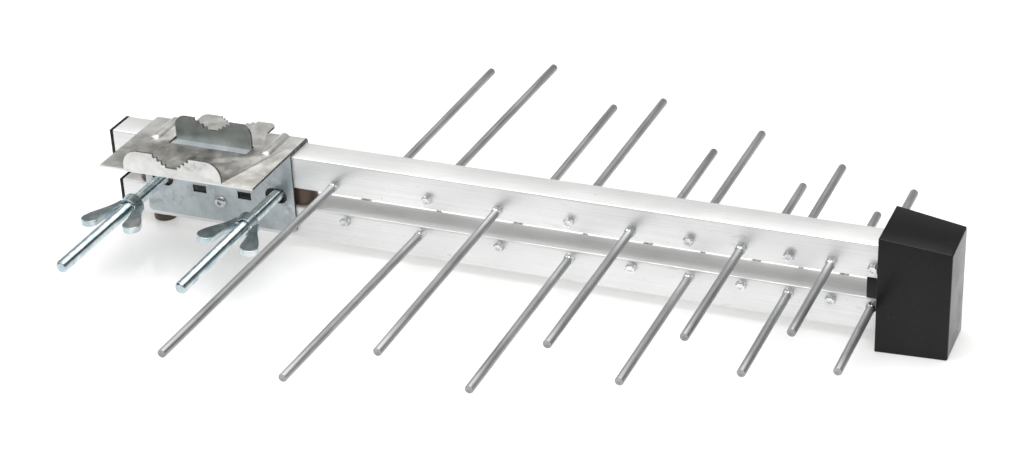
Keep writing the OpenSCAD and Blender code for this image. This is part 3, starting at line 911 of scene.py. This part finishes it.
straight_len = bend_y - bolt_low.y
bar_len = (2 * straight_len + math.pi * bend_r) / MM
bolt = turned(
    bar_profile(bar_len),
    ZINC,
    Around=32,
    Waves=1.0,
    Twist=1 / (PITCH * MM),
    Depth=THREAD_DEPTH * MM,
    Cut_from=-3 * MM,
    Cut_to=THREAD_LEN * MM,
    Length=bar_len * MM,
    Runout=2.5 * MM,
)
set_coords(bolt, bent(coords_of(bolt), straight_len))
outward(bolt)
piece_from(bolt, "u_bolt_bar", [ZINC], "u_bolt", ["u_bolt"], 60)


# ---------- wing nuts ----------

HUB_H = 5.6
HUB_BASE_R = 5.2
HUB_TOP_R = 4.4
BORE_R = 3.02
WING_TIP_R = 4.15
WING_T = 3.0


def wing_outline():
    """Side view of one wing: a stem that leaves the hub, widens and ends in a round paddle."""
    line = np.array([(3.4, -2.4), (4.9, -5.4), (6.7, -9.4), (8.6, -13.8), (10.0, -17.6), (10.8, -20.9)])
    half = np.array([2.9, 2.2, 2.15, 2.9, 3.75, WING_TIP_R])
    t = np.linspace(0, 1, len(line))
    fine = np.linspace(0, 1, 26)
    middle = np.stack([np.interp(fine, t, line[:, i]) for i in (0, 1)], 1)
    for _ in range(3):
        middle[1:-1] = (middle[:-2] + 2 * middle[1:-1] + middle[2:]) / 4
    half = np.interp(fine, t, half)
    way = np.gradient(middle, axis=0)
    way /= np.linalg.norm(way, axis=1)[:, None]
    across = np.stack([way[:, 1], -way[:, 0]], 1)
    one = middle + across * half[:, None]
    other = middle - across * half[:, None]
    turns = np.linspace(0, math.pi, 14)[1:-1]
    tip = [middle[-1] + WING_TIP_R * (across[-1] * math.cos(a) + way[-1] * math.sin(a)) for a in turns]
    return [*one, *tip, *other[::-1]]


def wing_mesh(side):
    """One flat wing of even thickness, as it is before the edges melt into the hub."""
    outline = wing_outline()
    count = len(outline)
    points = [(side * x, y, z) for z in (-WING_T / 2, WING_T / 2) for x, y in outline]
    faces = [tuple(range(count)), tuple(range(count, 2 * count))]
    faces += [(i, (i + 1) % count, count + (i + 1) % count, count + i) for i in range(count)]
    return outward(mesh_of(points, faces))


def wing_nut(name, body, spin):
    """A cast wing nut: hub and wings melted together, then placed on its leg."""
    low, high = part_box(name)
    leg_x = bolt_x + (bend_r if low.x > bolt_x else -bend_r)
    hub = [
        (BORE_R + 0.5, 0),
        (HUB_BASE_R, 0),
        (HUB_TOP_R, HUB_H),
        (BORE_R + 0.6, HUB_H),
        (BORE_R, HUB_H - 0.6),
        (BORE_R, 0.5),
        (BORE_R + 0.5, 0),
    ]
    hub = turned(hub, ZINC, (0, 0, 0), (math.pi / 2, 0, 0), Around=64)
    set_coords(hub, coords_of(hub) / MM)
    melted = with_modifiers(
        joined([hub, wing_mesh(1), wing_mesh(-1)]),
        ("REMESH", {"mode": "VOXEL", "voxel_size": 0.2}),
        ("SMOOTH", {"factor": 0.5, "iterations": 5}),
    )
    set_coords(melted, coords_of(melted) * MM)
    melted.transform(Matrix.Rotation(math.radians(spin), 4, "Y"))
    melted.transform(Matrix.Translation((leg_x, high.y, bolt_z)))
    melted.materials.clear()
    return piece_from(melted, name + "_casting", [ZINC], body, [name], 70)


LEFT_SPIN = 0  # degrees from wings level
RIGHT_SPIN = 8

wing_nut("wing_nut_left", "left_nut", LEFT_SPIN)
wing_nut("wing_nut_right", "right_nut", RIGHT_SPIN)


# ---------- studio ----------


def floor_material():
    """Glossy white board, with a little light of its own that keeps the shadows pale."""
    made = bpy.data.materials.new("studio floor")
    made.use_nodes = True
    shader = made.node_tree.nodes["Principled BSDF"]
    settings = {
        "Base Color": (0.68, 0.68, 0.68, 1),
        "Roughness": 0.08,
        "Emission Color": (1, 0.995, 0.985, 1),
        "Emission Strength": 0.36,
    }
    for key, value in settings.items():
        shader.inputs[key].default_value = value
    return made


FLOOR_HALF = 6.0
corners = [(-FLOOR_HALF, -FLOOR_HALF), (FLOOR_HALF, -FLOOR_HALF), (FLOOR_HALF, FLOOR_HALF)]
corners.append((-FLOOR_HALF, FLOOR_HALF))
floor_mesh = mesh_of([(x, y, 0) for x, y in corners], [(0, 1, 2, 3)])
floor_mesh.materials.append(floor_material())
floor = bpy.data.objects.new("floor", floor_mesh)
bpy.context.scene.collection.objects.link(floor)


def softbox(name, place, target, size, power, shade=(1, 1, 1)):
    """An area light at place that faces target."""
    data = bpy.data.lights.new(name, "AREA")
    data.shape = "RECTANGLE"
    data.size, data.size_y = size
    data.energy = power
    data.color = shade
    lamp = bpy.data.objects.new(name, data)
    lamp.location = place
    way = Vector(target) - Vector(place)
    lamp.rotation_euler = way.to_track_quat("-Z", "Y").to_euler()
    bpy.context.scene.collection.objects.link(lamp)
    return lamp


softbox("top softbox", (0.1, -0.05, 1.5), (0, 0, 0), (1.6, 1.2), 17)
softbox("left softbox", (-1.6, 0.1, 1.0), (0, 0, 0), (0.8, 0.8), 5)


def write_world():
    """Studio round the board: a bright ceiling, dark walls and a pale screen behind on the left."""
    world = bpy.data.worlds.new("studio")
    world.use_nodes = True
    bpy.context.scene.world = world
    net = Net(world.node_tree)
    way = net.node("ShaderNodeTexCoord", out="Generated")
    parts = net.node("ShaderNodeSeparateXYZ", None, {0: way})
    side, depth, height = parts.out("X"), parts.out("Y"), parts.out("Z")
    room = height.above(0.02, 0.1) * (1.0 - (1.0 - side.above(-0.75, -0.5)) * depth.above(0.2, 0.4))
    walls = net.shade(depth.above(0.45, 0.75), (0.07, 0.075, 0.08), (0.34, 0.335, 0.32))
    shade = net.shade(room, (0.9, 0.9, 0.9), walls)
    shade = net.shade(height.above(0.62, 0.74), shade, (1.55, 1.55, 1.55))
    back = world.node_tree.nodes["Background"]
    world.node_tree.links.new(shade.socket, back.inputs["Color"])
    back.inputs["Strength"].default_value = 0.85


write_world()

AZIMUTH = math.radians(23.33)
ELEVATION = math.radians(28.40)
ROLL = math.radians(-2.64)
SENSOR = 36.0
FOCAL = 82.33
SPOT = Vector((0.3667, -0.8514, 0.5226))


def add_camera():
    """The camera at SPOT, turned by its azimuth, elevation and roll."""
    data = bpy.data.cameras.new("camera")
    data.sensor_fit = "HORIZONTAL"
    data.sensor_width = SENSOR
    data.lens = FOCAL
    data.clip_start, data.clip_end = 0.05, 50
    back = Vector(
        (
            math.sin(AZIMUTH) * math.cos(ELEVATION),
            -math.cos(AZIMUTH) * math.cos(ELEVATION),
            math.sin(ELEVATION),
        )
    )
    right = (-back).cross(Vector((0, 0, 1))).normalized()
    up = right.cross(-back)
    across = right * math.cos(ROLL) + up * math.sin(ROLL)
    upright = up * math.cos(ROLL) - right * math.sin(ROLL)
    turn = Matrix((across, upright, back)).transposed().to_4x4()
    camera = bpy.data.objects.new("camera", data)
    camera.matrix_world = Matrix.Translation(SPOT) @ turn
    bpy.context.scene.collection.objects.link(camera)
    bpy.context.scene.camera = camera


add_camera()
bpy.context.scene.view_settings.view_transform = "Standard"
